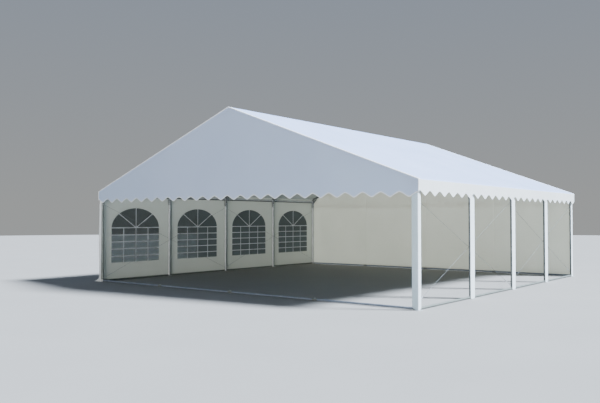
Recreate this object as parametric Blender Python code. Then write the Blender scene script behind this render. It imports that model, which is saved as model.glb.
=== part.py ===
# Marquee tent, open at the front gable and along the right side.
# Five steel tube bents stand 2 m apart and carry a roof cover of white coated fabric
# whose edges hang down as scalloped valances. The left side is closed by four wall
# panels with round-headed windows and the rear by one plain wall. Narrow strips of the
# same fabric cover the outsides of the other legs.
# Metres, +Z up. The origin is the middle of the footprint on the ground. The open
# front looks along -Y and the side with the windows along -X.

import math

import bmesh
import bpy
from mathutils import Vector

# Overall sizes, measured to the outer faces of the walls
width = 8.0
bay_length = 2.0
bay_count = 4

# Roof, measured on the outer face of its fabric
fold_height = 2.03
ridge_height = 3.545
ridge_rounding = 0.03
ridge_segments = 6
overhang = 0.035

# Scalloped lower edges of the roof and the gables
scallops_per_side = 24
valance_drop = 0.272
scallop_depth = 0.087
side_scallop_shift = 0.042
points_per_scallop = 6

# Fabric walls, windows and leg covers
fabric = 0.004
film = 0.002
film_lap = 0.02
wall_bottom = 0.03
panel_gap = 0.002
window_width = 1.41
window_sill = 0.402
window_spring = 1.206
window_rise = 0.467
window_arch_segments = 18
cover_bottom = 0.01
cover_top_drop = 0.04
side_cover_width = 0.23
side_cover_shift = 0.03
corner_cover_front = 0.113
corner_cover_side = 0.09
rear_cover_width = 0.115
left_cover_width = 0.085

# Steel tubes and their fittings
leg_radius = 0.027
rafter_radius = 0.025
rail_radius = 0.021
socket_wall = 0.003
leg_socket_length = 0.2615
eave_rail_drop = 0.0615
socket_cap_drop = 0.006
ridge_socket_length = 0.16
ridge_socket_gap = 0.004
rail_end = 0.01
purlin_sleeve_length = 0.14
tube_sides = 12

# Ground bars between the feet, and the shoes that the legs stand in
ground_bar_radius = 0.019
ground_bar_height = 0.026
foot_plate_size = 0.13
foot_plate_thickness = 0.006
foot_recess = 0.001
shoe_height = 0.055
coupler_radius = 0.012
coupler_height = 0.06

# Wire braces, each from the top of one leg to the foot of the next but one
brace_radius = 0.003
brace_sides = 8
brace_top_drop = 0.025
brace_foot = 0.085
brace_step = 0.035
brace_tab = 0.022

# Gap between faces that touch on the real tent
clearance = 0.0003

# Places that follow from the sizes
length = bay_length * bay_count
tip_height = fold_height - valance_drop
roof_x = width / 2 + overhang
roof_y = length / 2 + overhang
slope = math.atan((ridge_height - fold_height) / roof_x)
leg_socket_radius = leg_radius + socket_wall
rafter_socket_radius = rafter_radius + socket_wall
inset = fabric + clearance + leg_socket_radius
column_x = width / 2 - inset
column_y = length / 2 - inset
bent_places = [bay_length * step - length / 2 for step in range(bay_count + 1)]
bent_places[0] = -column_y
bent_places[-1] = column_y
rafter_drop = fabric + clearance + rafter_socket_radius

steel = ("galvanised_steel", (0.40, 0.42, 0.43), 0.45, 0.9)
dark_steel = ("dark_steel_fittings", (0.10, 0.11, 0.13), 0.5, 0.8)
wire = ("steel_wire", (0.30, 0.31, 0.32), 0.4, 1.0)
white_fabric = ("white_coated_fabric", (0.80, 0.83, 0.87), 0.55, 0.0)
clear_film = ("clear_film", (0.75, 0.80, 0.82), 0.15, 0.0)


def material(finish):
    """The Principled material of one finish, made on its first use."""
    name, colour, roughness, metallic = finish
    found = bpy.data.materials.get(name)
    if found:
        return found
    made = bpy.data.materials.new(name)
    made.use_nodes = True
    shader = made.node_tree.nodes["Principled BSDF"]
    shader.inputs["Base Color"].default_value = (*colour, 1.0)
    shader.inputs["Roughness"].default_value = roughness
    shader.inputs["Metallic"].default_value = metallic
    return made


def group(name):
    """An empty at the origin that holds the objects of one group."""
    empty = bpy.data.objects.new(name, None)
    bpy.context.collection.objects.link(empty)
    return empty


def finished_mesh(name, shape, finish, smooth):
    """Turn a bmesh into a mesh whose faces all point outwards."""
    bmesh.ops.recalc_face_normals(shape, faces=shape.faces)
    mesh = bpy.data.meshes.new(name)
    shape.to_mesh(mesh)
    shape.free()
    mesh.materials.append(material(finish))
    if smooth:
        mesh.shade_smooth()
        mesh.set_sharp_from_angle(angle=math.radians(35))
    return mesh


def place(name, mesh, parent, location=(0, 0, 0), rotation=(0, 0, 0)):
    """Add one object of the tent."""
    made = bpy.data.objects.new(name, mesh)
    made.location = location
    made.rotation_euler = rotation
    made.parent = parent
    bpy.context.collection.objects.link(made)
    return made


def combine(target, operation, shape):
    """Fuse a shape with an object, or cut it out, by a Boolean that stays live."""
    name = target.name + "_" + operation.lower()
    mesh = finished_mesh(name, shape, steel, False)
    tool = place(name, mesh, target)
    tool.hide_render = True
    tool.display_type = "WIRE"
    boolean = target.modifiers.new(name, "BOOLEAN")
    boolean.operation = operation
    boolean.solver = "EXACT"
    boolean.object = tool


def ring(shape, centre, side, other, radius, sides):
    """Corners of a flat ring, with the first one along side."""
    corners = []
    for step in range(sides):
        turn = 2 * math.pi * step / sides
        corners.append(shape.verts.new(centre + (side * math.cos(turn) + other * math.sin(turn)) * radius))
    return corners


def add_bar(shape, start, end, side, radius, sides=tube_sides):
    """Add a round bar from start to end to a shape; a ring corner points along side."""
    start, end, side = Vector(start), Vector(end), Vector(side)
    other = (end - start).normalized().cross(side)
    first = ring(shape, start, side, other, radius, sides)
    last = ring(shape, end, side, other, radius, sides)
    for step in range(sides):
        following = (step + 1) % sides
        shape.faces.new((first[step], first[following], last[following], last[step]))
    shape.faces.new(first)
    shape.faces.new(last)


def bar(start, end, side, radius, sides=tube_sides):
    """A new shape that holds one round bar."""
    shape = bmesh.new()
    add_bar(shape, start, end, side, radius, sides)
    return shape


def add_loop(shape, points):
    """Closed loop of edges through points."""
    corners = [shape.verts.new(point) for point in points]
    return [shape.edges.new((corners[step - 1], corners[step])) for step in range(len(corners))]


def add_plate(shape, outline, normal, thickness, hole=None):
    """Add a flat sheet: the outline, less one hole, swept along normal by its thickness."""
    edges = add_loop(shape, outline)
    if hole:
        edges += add_loop(shape, hole)
    filled = bmesh.ops.triangle_fill(shape, edges=edges, use_beauty=True)
    faces = [item for item in filled["geom"] if isinstance(item, bmesh.types.BMFace)]
    swept = bmesh.ops.extrude_face_region(shape, geom=faces)
    moved = [item for item in swept["geom"] if isinstance(item, bmesh.types.BMVert)]
    bmesh.ops.translate(shape, verts=moved, vec=Vector(normal) * thickness)


def plate(outline, normal, thickness, hole=None):
    """A new shape that holds one flat sheet."""
    shape = bmesh.new()
    add_plate(shape, outline, normal, thickness, hole)
    return shape


def scallop_points(half_length, shift):
    """Points (place, height) along a scalloped edge: pointed tips and rounded notches.
    The shift moves them along from where a notch would stand at each end."""
    pitch = 2 * half_length / scallops_per_side
    steps = range(-points_per_scallop, scallops_per_side * points_per_scallop)
    inside = [shift - half_length + pitch * step / points_per_scallop for step in steps]
    inside = [place_along for place_along in inside if abs(place_along) < half_length - clearance]
    points = []
    for place_along in [-half_length] + inside + [half_length]:
        swing = abs(math.cos(math.pi * (place_along + half_length - shift) / pitch))
        points.append((place_along, tip_height + scallop_depth * swing))
    return points


def roof_curve(depth, half_width):
    """Points (x, z) from right to left at one depth below the roof's outer face."""
    centre = ridge_height - ridge_rounding / math.cos(slope)
    edge = ridge_height - half_width * math.tan(slope) - depth / math.cos(slope)
    points = [(half_width, edge)]
    for step in range(ridge_segments + 1):
        turn = slope * (1 - 2 * step / ridge_segments)
        reach = ridge_rounding - depth
        points.append((reach * math.sin(turn), centre + reach * math.cos(turn)))
    points.append((-half_width, edge))
    return points


def rafter_line(across):
    """Height of the rafters' centre line at a distance from the ridge."""
    return ridge_height - across * math.tan(slope) - rafter_drop / math.cos(slope)


for old in list(bpy.data.objects):
    bpy.data.objects.remove(old, do_unlink=True)

steel_frame = group("steel_frame")
fabric_cover = group("fabric_cover")
left_and_right = (("left", -1), ("right", 1))

# Legs: a plain tube from the shoe up into the socket of the eave rail
column_head = rafter_line(column_x)
socket_bottom = column_head - leg_socket_length
leg_foot = foot_plate_thickness - foot_recess + clearance
leg_length = socket_bottom - clearance - leg_foot
leg_mesh = finished_mesh("leg", bar((0, 0, 0), (0, 0, leg_length), (1, 0, 0), leg_radius), steel, True)
for side_name, side in left_and_right:
    for number, place_y in enumerate(bent_places, start=1):
        place("leg_%s_%d" % (side_name, number), leg_mesh, steel_frame,
              (side * column_x, place_y, leg_foot))

# Eave rails: a tube along the leg heads, with the upright socket of each leg
eave_rail_height = column_head - eave_rail_drop
rail_half = column_y + rail_end
for side_name, side in left_and_right:
    rail = bar((0, -rail_half, 0), (0, rail_half, 0), (1, 0, 0), rail_radius)
    eave_rail = place("eave_rail_" + side_name, finished_mesh("eave_rail", rail, dark_steel, True),
                      steel_frame, (side * column_x, 0, eave_rail_height))
    sockets = bmesh.new()
    for place_y in bent_places:
        add_bar(sockets, (0, place_y, socket_bottom - eave_rail_height),
                (0, place_y, eave_rail_drop - socket_cap_drop), (1, 0, 0), leg_socket_radius)
    combine(eave_rail, "UNION", sockets)

# Rafters: a tube from the inner rim of each leg socket up to the ridge socket
rafter_foot = leg_socket_radius * math.cos(slope) - socket_cap_drop * math.sin(slope) + clearance
rafter_length = column_x / math.cos(slope) - rafter_foot - ridge_socket_length - clearance
rafter_mesh = finished_mesh("rafter", bar((0, 0, 0), (rafter_length, 0, 0), (0, 1, 0), rafter_radius),
                            steel, True)
for side_name, side in left_and_right:
    for number, place_y in enumerate(bent_places, start=1):
        foot_x = side * (column_x - rafter_foot * math.cos(slope))
        foot_z = column_head + rafter_foot * math.sin(slope)
        turn = math.pi + slope if side > 0 else -slope
        place("rafter_%s_%d" % (side_name, number), rafter_mesh, steel_frame,
              (foot_x, place_y, foot_z), (0, turn, 0))

# Ridge rail: a tube along the ridge, with two sockets at each bent
ridge_centre = rafter_line(0)
ridge = bar((0, -rail_half, 0), (0, rail_half, 0), (1, 0, 0), rail_radius)
ridge_rail = place("ridge_rail", finished_mesh("ridge_rail", ridge, dark_steel, True),
                   steel_frame, (0, 0, ridge_centre))
for side_name, side in left_and_right:
    ridge_sockets = bmesh.new()
    rounding_reach = (ridge_rounding - fabric - rafter_socket_radius) * math.tan(slope)
    socket_start = rounding_reach + ridge_socket_gap
    outwards = Vector((side * math.cos(slope), 0, -math.sin(slope)))
    for place_y in bent_places:
        start = Vector((0, place_y, 0))
        add_bar(ridge_sockets, start + outwards * socket_start,
                start + outwards * ridge_socket_length, (0, 1, 0), rafter_socket_radius)
    combine(ridge_rail, "UNION", ridge_sockets)

# Purlins: a tube half way up each slope, with a sleeve round every rafter
for side_name, side in left_and_right:
    purlin_x = column_x / 2
    tube = bar((0, -rail_half, 0), (0, rail_half, 0), (1, 0, 0), rail_radius)
    purlin = place("purlin_" + side_name, finished_mesh("purlin", tube, steel, True),
                   steel_frame, (side * purlin_x, 0, rafter_line(purlin_x)))
    sleeves = bmesh.new()
    bores = bmesh.new()
    outwards = Vector((side * math.cos(slope), 0, -math.sin(slope)))
    for place_y in bent_places:
        middle = Vector((0, place_y, 0))
        add_bar(sleeves, middle - outwards * purlin_sleeve_length / 2,
                middle + outwards * purlin_sleeve_length / 2, (0, 1, 0), rafter_socket_radius)
        add_bar(bores, middle - outwards * purlin_sleeve_length,
                middle + outwards * purlin_sleeve_length, (0, 1, 0), rafter_radius + clearance)
    combine(purlin, "UNION", sleeves)
    combine(purlin, "DIFFERENCE", bores)

# Side ground bars: a tube through the shoes of the five legs, each on its foot plate
half_plate = foot_plate_size / 2
plate_corners = [(-half_plate, -half_plate), (half_plate, -half_plate),
                 (half_plate, half_plate), (-half_plate, half_plate)]
for side_name, side in left_and_right:
    tube = bar((0, -column_y, 0), (0, column_y, 0), (1, 0, 0), ground_bar_radius)
    ground_bar = place("ground_bar_" + side_name, finished_mesh("ground_bar_side", tube, steel, True),
                       steel_frame, (side * column_x, 0, ground_bar_height))
    foot_plates = bmesh.new()
    shoes = bmesh.new()
    bores = bmesh.new()
    for place_y in bent_places:
        add_plate(foot_plates, [(x, place_y + y, -ground_bar_height) for x, y in plate_corners],
                  (0, 0, 1), foot_plate_thickness)
        add_bar(shoes, (0, place_y, foot_recess - ground_bar_height),
                (0, place_y, shoe_height - ground_bar_height), (1, 0, 0), leg_socket_radius)
        add_bar(bores, (0, place_y, foot_plate_thickness - foot_recess - ground_bar_height),
                (0, place_y, shoe_height), (1, 0, 0), leg_radius + clearance)
    combine(ground_bar, "UNION", foot_plates)
    combine(ground_bar, "UNION", shoes)
    combine(ground_bar, "DIFFERENCE", bores)

# End ground bars: a tube between the corner shoes, with an upright pin at each joint
for end_name, end in (("front", -1), ("rear", 1)):
    half_bar = column_x - leg_socket_radius - clearance
    tube = bar((-half_bar, 0, 0), (half_bar, 0, 0), (0, 1, 0), ground_bar_radius)
    ground_bar = place("ground_bar_" + end_name, finished_mesh("ground_bar_end", tube, dark_steel, True),
                       steel_frame, (0, end * column_y, ground_bar_height))
    couplers = bmesh.new()
    for quarter in (-1, 0, 1):
        place_x = quarter * width / 4
        add_bar(couplers, (place_x, 0, -ground_bar_height),
                (place_x, 0, coupler_height - ground_bar_height), (1, 0, 0), coupler_radius)
    combine(ground_bar, "UNION", couplers)

# Wire braces: two crossed wires over each pair of bays, hooked to the insides of the legs
for side_name, side in left_and_right:
    leg_face = leg_radius + clearance
    wire_gap = 2 * brace_radius + clearance
    number = 0
    for pair in range(bay_count // 2):
        first_y = bent_places[2 * pair]
        last_y = bent_places[2 * pair + 2]
        upper = socket_bottom - brace_top_drop - pair * brace_step
        lower = brace_foot + pair * brace_step
        for layer, heights in enumerate(((upper, lower), (lower, upper))):
            number += 1
            depth = leg_face + brace_radius + layer * wire_gap
            strand = bar((0, first_y, heights[0]), (0, last_y, heights[1]), (1, 0, 0),
                         brace_radius, brace_sides)
            name = "brace_wire_%s_%d" % (side_name, number)
            brace = place(name, finished_mesh("brace_wire", strand, wire, True),
                          steel_frame, (side * (column_x - depth), 0, 0))
            tabs = bmesh.new()
            for tab_y, tab_z in ((first_y, heights[0]), (last_y, heights[1])):
                add_bar(tabs, (-side * brace_tab / 4, tab_y, tab_z),
                        (side * (depth - leg_face), tab_y, tab_z), (0, 0, 1), brace_tab / 2)
            combine(brace, "UNION", tabs)

# Roof cover: both slopes and both side valances in one piece
outer = roof_curve(0, roof_x)
inner = roof_curve(fabric, roof_x - fabric)
roof = bmesh.new()
rows = {}
for end in (-1, 1):
    rows["outer", end] = [roof.verts.new((x, end * roof_y, z)) for x, z in outer]
    rows["inner", end] = [roof.verts.new((x, end * roof_y, z)) for x, z in inner]
for step in range(1, len(outer)):
    for face in ("outer", "inner"):
        front, back = rows[face, -1], rows[face, 1]
        roof.faces.new((front[step - 1], front[step], back[step], back[step - 1]))
    for end in (-1, 1):
        above, below = rows["outer", end], rows["inner", end]
        roof.faces.new((above[step - 1], above[step], below[step], below[step - 1]))
for side, corner in ((1, 0), (-1, -1)):
    hems = {}
    for face, face_x in (("outer", roof_x), ("inner", roof_x - fabric)):
        hem = [roof.verts.new((side * face_x, y, z)) for y, z in scallop_points(roof_y, side_scallop_shift)]
        roof.faces.new([rows[face, -1][corner]] + hem + [rows[face, 1][corner]])
        hems[face] = hem
    for step in range(1, len(hems["outer"])):
        roof.faces.new((hems["outer"][step - 1], hems["outer"][step],
                        hems["inner"][step], hems["inner"][step - 1]))
    for end, tip in ((-1, 0), (1, -1)):
        roof.faces.new((rows["outer", end][corner], rows["inner", end][corner],
                        hems["inner"][tip], hems["outer"][tip]))
place("roof_cover", finished_mesh("roof_cover", roof, white_fabric, False), fabric_cover)

# Gables: a triangle of fabric under each end of the roof, scalloped like the sides
gable_half = roof_x - fabric - clearance
gable_top = roof_curve(fabric + clearance, gable_half)
gable_outline = [(x, 0, z) for x, z in gable_top + scallop_points(gable_half, 0)]
for end_name, end in (("front", -1), ("rear", 1)):
    gable = plate(gable_outline, (0, -end, 0), fabric)
    place(end_name + "_gable", finished_mesh("gable", gable, white_fabric, False),
          fabric_cover, (0, end * roof_y, 0))

# Rear wall: one plain sheet from just above the ground up to the roof
rear_half = width / 2 - fabric - clearance
rear_top = roof_curve(fabric + clearance, rear_half)
rear_outline = [(x, 0, z) for x, z in rear_top + [(-rear_half, wall_bottom), (rear_half, wall_bottom)]]
rear = plate(rear_outline, (0, -1, 0), fabric)
place("rear_wall", finished_mesh("rear_wall", rear, white_fabric, False), fabric_cover, (0, length / 2, 0))


def window_outline(margin):
    """Points (y, z) of the round-headed window, grown by a margin."""
    half = window_width / 2 + margin
    points = [(-half, window_sill - margin), (half, window_sill - margin)]
    for step in range(window_arch_segments + 1):
        turn = math.pi * step / window_arch_segments
        points.append((half * math.cos(turn), window_spring + (window_rise + margin) * math.sin(turn)))
    return points


# Left wall: a panel for each bay with its window cut out, and a clear film behind it
film_x = width / 2 - fabric - clearance
for bay in range(bay_count):
    middle = bay_length * (bay + 0.5) - length / 2
    front_edge = -bay_length / 2 + panel_gap / 2
    rear_edge = bay_length / 2 - panel_gap / 2
    if bay == 0:
        front_edge = -bay_length / 2 + fabric + clearance
    if bay == bay_count - 1:
        rear_edge = bay_length / 2
    panel_outline = [(0, front_edge, wall_bottom), (0, rear_edge, wall_bottom),
                     (0, rear_edge, fold_height), (0, front_edge, fold_height)]
    opening = [(0, y, z) for y, z in window_outline(0)]
    panel = plate(panel_outline, (1, 0, 0), fabric, opening)
    place("side_wall_%d" % (bay + 1), finished_mesh("side_wall", panel, white_fabric, False),
          fabric_cover, (-width / 2, middle, 0))
    pane = plate([(0, y, z) for y, z in window_outline(film_lap)], (1, 0, 0), film)
    place("window_film_%d" % (bay + 1), finished_mesh("window_film", pane, clear_film, False),
          fabric_cover, (-film_x, middle, 0))

# Leg covers: strips of the wall fabric hung down the outsides of the free legs
cover_height = column_head - cover_top_drop - cover_bottom


def leg_cover(name, outline, location):
    """A cover strip from its outline in plan."""
    strip = plate([(x, y, 0) for x, y in outline], (0, 0, 1), cover_height)
    place(name, finished_mesh(name, strip, white_fabric, False), fabric_cover, (*location, cover_bottom))


cover_front = side_cover_shift - side_cover_width / 2
cover_rear = side_cover_shift + side_cover_width / 2
side_strip = [(-fabric, cover_front), (0, cover_front), (0, cover_rear), (-fabric, cover_rear)]
for number, place_y in enumerate(bent_places[1:-1], start=2):
    leg_cover("leg_cover_right_%d" % number, side_strip, (width / 2, place_y))
rear_strip = [(-fabric, -rear_cover_width), (0, -rear_cover_width), (0, 0), (-fabric, 0)]
leg_cover("leg_cover_rear_right", rear_strip, (width / 2, length / 2))
left_strip = [(0, 0), (left_cover_width, 0), (left_cover_width, fabric), (0, fabric)]
leg_cover("leg_cover_front_left", left_strip, (-width / 2, -length / 2))
corner_strip = [(-corner_cover_front, 0), (0, 0), (0, corner_cover_side), (-fabric, corner_cover_side),
                (-fabric, fabric), (-corner_cover_front, fabric)]
leg_cover("leg_cover_front_right", corner_strip, (width / 2, -length / 2))
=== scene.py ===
# Looks of the marquee tent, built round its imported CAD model.
# The sections follow the tent as it is put up: ground bars, legs, eave rails, rafters and
# ridge, wire braces, roof cover, gables, rear wall, window wall, leg covers.
# Metres, +Z up. The open front looks along -Y and the wall with the windows along -X.

import math

import bmesh
import bpy
import numpy as np
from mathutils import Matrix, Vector, noise


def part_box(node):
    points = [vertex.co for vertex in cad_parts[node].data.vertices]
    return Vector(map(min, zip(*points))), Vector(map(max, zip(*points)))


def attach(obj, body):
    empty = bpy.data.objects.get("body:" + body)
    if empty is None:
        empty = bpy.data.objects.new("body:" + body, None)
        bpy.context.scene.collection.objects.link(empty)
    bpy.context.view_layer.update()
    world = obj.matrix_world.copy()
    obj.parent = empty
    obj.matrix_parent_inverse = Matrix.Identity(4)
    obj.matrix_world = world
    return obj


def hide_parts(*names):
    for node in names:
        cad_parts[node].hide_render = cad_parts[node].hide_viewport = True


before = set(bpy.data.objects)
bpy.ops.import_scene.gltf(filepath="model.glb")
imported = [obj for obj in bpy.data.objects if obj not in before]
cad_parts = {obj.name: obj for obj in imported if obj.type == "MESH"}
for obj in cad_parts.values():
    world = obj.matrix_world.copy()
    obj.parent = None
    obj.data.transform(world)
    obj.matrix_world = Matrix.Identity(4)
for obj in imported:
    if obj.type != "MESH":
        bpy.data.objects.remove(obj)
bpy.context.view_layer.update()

# --- Ground bars and shoes ---------------------------------------------------------------
# Hot-dip galvanised steel tube laid between the feet. Each leg stands in a shoe, a short
# ring welded to a square plate, and two pegs through the plate hold it to the ground.
ground_bar_radius = 0.019
ground_bar_height = 0.026
bar_overlap = 0.002
shoe_height = 0.055
shoe_weld = 0.004
plate_half = 0.065
plate_thickness = 0.006
plate_corner = 0.012
slip_fit = 0.0004
peg_reach = 0.048
peg_head = (0.008, 0.008)
pin_radius = 0.012
pin_height = 0.06
coupler_radius = 0.0225
coupler_reach = 0.05
bay_lines = (-2.0, 0.0, 2.0)
tube_sides = 24
tube_angle = 30
zinc_shades = ("C6CBCE", "A6ACB0")
trodden_and_shade_colours = ("7C8482", "5D6563")
weathered_and_shade_colours = ("767D80", "4B5154")
end_bar_shades = ("7F8CA0", "5A677B")
soil = "6B6A5C"

leg_low, leg_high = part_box("leg_left_1")
leg_radius = (leg_high.x - leg_low.x) / 2
column_x = -(leg_low.x + leg_high.x) / 2
socket_radius = leg_radius + 0.003
bent_places = [sum(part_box("leg_left_%d" % number), Vector()).y / 2 for number in range(1, 6)]
sides = (("left", -1), ("right", 1))
ends = (("front", -1), ("rear", 1))
corner_y = bent_places[-1]


def colour(code):
    """An sRGB hex code as linear RGBA."""
    parts = [int(code[place:place + 2], 16) / 255 for place in (0, 2, 4)]
    return [part / 12.92 if part <= 0.04045 else ((part + 0.055) / 1.055) ** 2.4 for part in parts] + [1.0]


def feed(tree, node, inputs):
    """Set a node's inputs, each to a plain value or to the socket that feeds it."""
    for name, value in inputs.items():
        if isinstance(value, bpy.types.NodeSocket):
            tree.links.new(value, node.inputs[name])
        else:
            node.inputs[name].default_value = value


def add_node(tree, kind, inputs=(), **settings):
    """Add a node with its settings and inputs."""
    node = tree.nodes.new(kind)
    for name, value in settings.items():
        setattr(node, name, value)
    feed(tree, node, dict(inputs))
    return node


def node_out(tree, kind, inputs=(), output=0, **settings):
    """Add a node and give the socket of one of its outputs."""
    return add_node(tree, kind, inputs, **settings).outputs[output]


def product(tree, first, second):
    """The product of two values."""
    return node_out(tree, "ShaderNodeMath", {0: first, 1: second}, operation="MULTIPLY")


def remap(tree, value, low, high, new_low=0.0, new_high=1.0):
    """A value from low to high, carried over to the new range and held inside it."""
    return node_out(tree, "ShaderNodeMapRange", {
        "Value": value, "From Min": low, "From Max": high, "To Min": new_low, "To Max": new_high})


def clouding(tree, place, scale, detail=2.0, roughness=0.5):
    """Soft noise from 0 to 1."""
    return node_out(tree, "ShaderNodeTexNoise", {
        "Vector": place, "Scale": scale, "Detail": detail, "Roughness": roughness}, "Fac")


def blend(tree, share, first, second):
    """Mix two colours, each given as a hex code or as a socket."""
    first, second = [colour(tint) if isinstance(tint, str) else tint for tint in (first, second)]
    return node_out(tree, "ShaderNodeMix", {0: share, 6: first, 7: second}, 2, data_type="RGBA")


def bump(tree, height, strength, distance, **normal):
    """A normal that follows a height; it may start from another Normal."""
    return node_out(tree, "ShaderNodeBump", {
        "Height": height, "Strength": strength, "Distance": distance, **normal})


def ground_dirt(tree, place, clouds, top, foot, most):
    """Share of dirt: none above the height top, most of it under foot, broken up by clouds."""
    height = node_out(tree, "ShaderNodeSeparateXYZ", {0: place}, "Z")
    return product(tree, remap(tree, height, top, foot, 0.0, most), clouds)


def blank_material(name, **constants):
    """A material with one Principled shader, and the place that its patterns are drawn by."""
    made = bpy.data.materials.new(name)
    made.use_nodes = True
    tree = made.node_tree
    shader = tree.nodes["Principled BSDF"]
    feed(tree, shader, constants)
    return made, tree, shader, node_out(tree, "ShaderNodeTexCoord", output="Object")


def zinc_material(name, shades, metal):
    """Hot-dip zinc on steel: dull crystals about 14 mm wide, rubbed and dusty near the ground."""
    light, dark = shades
    made, tree, shader, place = blank_material(name, Metallic=metal)
    crystals = node_out(tree, "ShaderNodeTexVoronoi", {"Vector": place, "Scale": 70.0}, "Color")
    clouds = clouding(tree, place, 5.0, 4.0)
    mottle = product(tree, crystals, clouds)
    bare = blend(tree, remap(tree, mottle, 0.1, 0.5), dark, light)
    dust = ground_dirt(tree, place, clouds, 0.16, 0.0, 0.55)
    feed(tree, shader, {"Base Color": blend(tree, dust, bare, soil),
                        "Roughness": remap(tree, mottle, 0.0, 0.6, 0.58, 0.4),
                        "Normal": bump(tree, mottle, 0.12, 0.0006)})
    return made


def new_geometry_tree(name, **kinds):
    """A geometry tree with a material and inputs of the given kinds, and their sockets."""
    tree = bpy.data.node_groups.new(name, "GeometryNodeTree")
    tree.interface.new_socket("Geometry", in_out="OUTPUT", socket_type="NodeSocketGeometry")
    for socket, kind in {"Geometry": "Geometry", **kinds, "Material": "Material"}.items():
        tree.interface.new_socket(socket, in_out="INPUT", socket_type="NodeSocket" + kind)
    return tree, tree.nodes.new("NodeGroupInput").outputs


def close_tree(tree, given, geometry):
    """Realize what the tree has made, give it its material and send it out."""
    solid = node_out(tree, "GeometryNodeRealizeInstances", {"Geometry": geometry})
    dressed = node_out(tree, "GeometryNodeSetMaterial", {"Geometry": solid, "Material": given["Material"]})
    add_node(tree, "NodeGroupOutput", {"Geometry": dressed})
    return tree


def sweep(tree, path, section):
    """Carry a closed section along a path."""
    return node_out(tree, "GeometryNodeCurveToMesh", {
        "Curve": path, "Profile Curve": section, "Fill Caps": True})


def smooth(mesh, angle):
    """Shade a mesh smooth up to an angle in degrees."""
    mesh.shade_smooth()
    mesh.set_sharp_from_angle(angle=math.radians(angle))


def link_piece(name, mesh, smooth_angle=None):
    """Put a mesh into the scene at the origin."""
    piece = bpy.data.objects.new(name, mesh)
    bpy.context.scene.collection.objects.link(piece)
    if smooth_angle:
        smooth(mesh, smooth_angle)
    return piece


def bake_modifiers(piece, smooth_angle):
    """Keep what a piece's modifiers make as its own mesh."""
    bpy.context.view_layer.update()
    shape = piece.evaluated_get(bpy.context.evaluated_depsgraph_get())
    mesh = bpy.data.meshes.new_from_object(shape)
    piece.modifiers.clear()
    piece.data = mesh
    smooth(mesh, smooth_angle)
    return piece


def grow(name, base, tree, inputs, smooth_angle=tube_angle):
    """Run a geometry tree on a base mesh and keep the result."""
    piece = link_piece(name, base)
    modifier = piece.modifiers.new(tree.name, "NODES")
    modifier.node_group = tree
    for item in tree.interface.items_tree:
        if item.in_out == "INPUT" and item.name in inputs:
            modifier[item.identifier] = inputs[item.name]
    return bake_modifiers(piece, smooth_angle)


def settle(piece, slot, *stood_for):
    """The piece rides on the tent's one body and stands for CAD nodes, which it hides. The slot is not
    used.
    """
    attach(piece, "root")
    if stood_for:
        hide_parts(*stood_for)
    return piece


def make_tube_tree():
    """Round tube along every edge of the base mesh."""
    tree, given = new_geometry_tree("round_tube", Radius="Float", Sides="Int")
    line = node_out(tree, "GeometryNodeMeshToCurve", {"Mesh": given["Geometry"]})
    ring = node_out(tree, "GeometryNodeCurvePrimitiveCircle", {
        "Resolution": given["Sides"], "Radius": given["Radius"]})
    return close_tree(tree, given, sweep(tree, line, ring))


def make_bolt_tree():
    """Washer and hexagon head on every point, standing along the point's axis."""
    tree, given = new_geometry_tree("hexagon_bolt", Head="Float", Height="Float")
    head, height = given["Head"], given["Height"]
    disc = node_out(tree, "GeometryNodeMeshCylinder", {
        "Vertices": 16, "Radius": product(tree, head, 1.75), "Depth": height}, "Mesh")
    washer = node_out(tree, "GeometryNodeTransform", {"Geometry": disc, "Scale": (1.0, 1.0, 0.25)})
    hexagon = node_out(tree, "GeometryNodeMeshCylinder", {
        "Vertices": 6, "Radius": head, "Depth": height}, "Mesh")
    lift = node_out(tree, "ShaderNodeCombineXYZ", {"Z": product(tree, height, 0.5)})
    raised = node_out(tree, "GeometryNodeTransform", {"Geometry": hexagon, "Translation": lift})
    both = add_node(tree, "GeometryNodeJoinGeometry")
    for part in (washer, raised):
        tree.links.new(part, both.inputs[0])
    axis = node_out(tree, "GeometryNodeInputNamedAttribute", {"Name": "axis"}, "Attribute",
                    data_type="FLOAT_VECTOR")
    turn = node_out(tree, "FunctionNodeAlignRotationToVector", {"Vector": axis}, axis="Z")
    heads = node_out(tree, "GeometryNodeInstanceOnPoints", {
        "Points": given["Geometry"], "Instance": both.outputs[0], "Rotation": turn})
    return close_tree(tree, given, heads)


def edge_mesh(lines):
    """A mesh of separate edges, one for each (start, end)."""
    mesh = bpy.data.meshes.new("lines")
    points = [point for line in lines for point in line]
    mesh.from_pydata(points, [(step, step + 1) for step in range(0, len(points), 2)], [])
    return mesh


def tubes(name, lines, radius, material, count=tube_sides):
    """Round tubes along separate lines, each given as (start, end)."""
    return grow(name, edge_mesh(lines), tube_tree,
                {"Radius": radius, "Sides": count, "Material": material})


def bolts(name, places, size):
    """Bolts of one (head radius, height), each standing on a (place, axis)."""
    mesh = bpy.data.meshes.new("points")
    mesh.from_pydata([place for place, axis in places], [], [])
    attribute = mesh.attributes.new("axis", "FLOAT_VECTOR", "POINT")
    attribute.data.foreach_set("vector", [part for place, axis in places for part in axis])
    return grow(name, mesh, bolt_tree, {"Head": size[0], "Height": size[1], "Material": zinc})


def skin(shape, pairs):
    """Close the gap between the two rings of each pair with faces."""
    for below, above in pairs:
        for step, corner in enumerate(below):
            after = (step + 1) % len(below)
            shape.faces.new((corner, below[after], above[after], above[step]))


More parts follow.
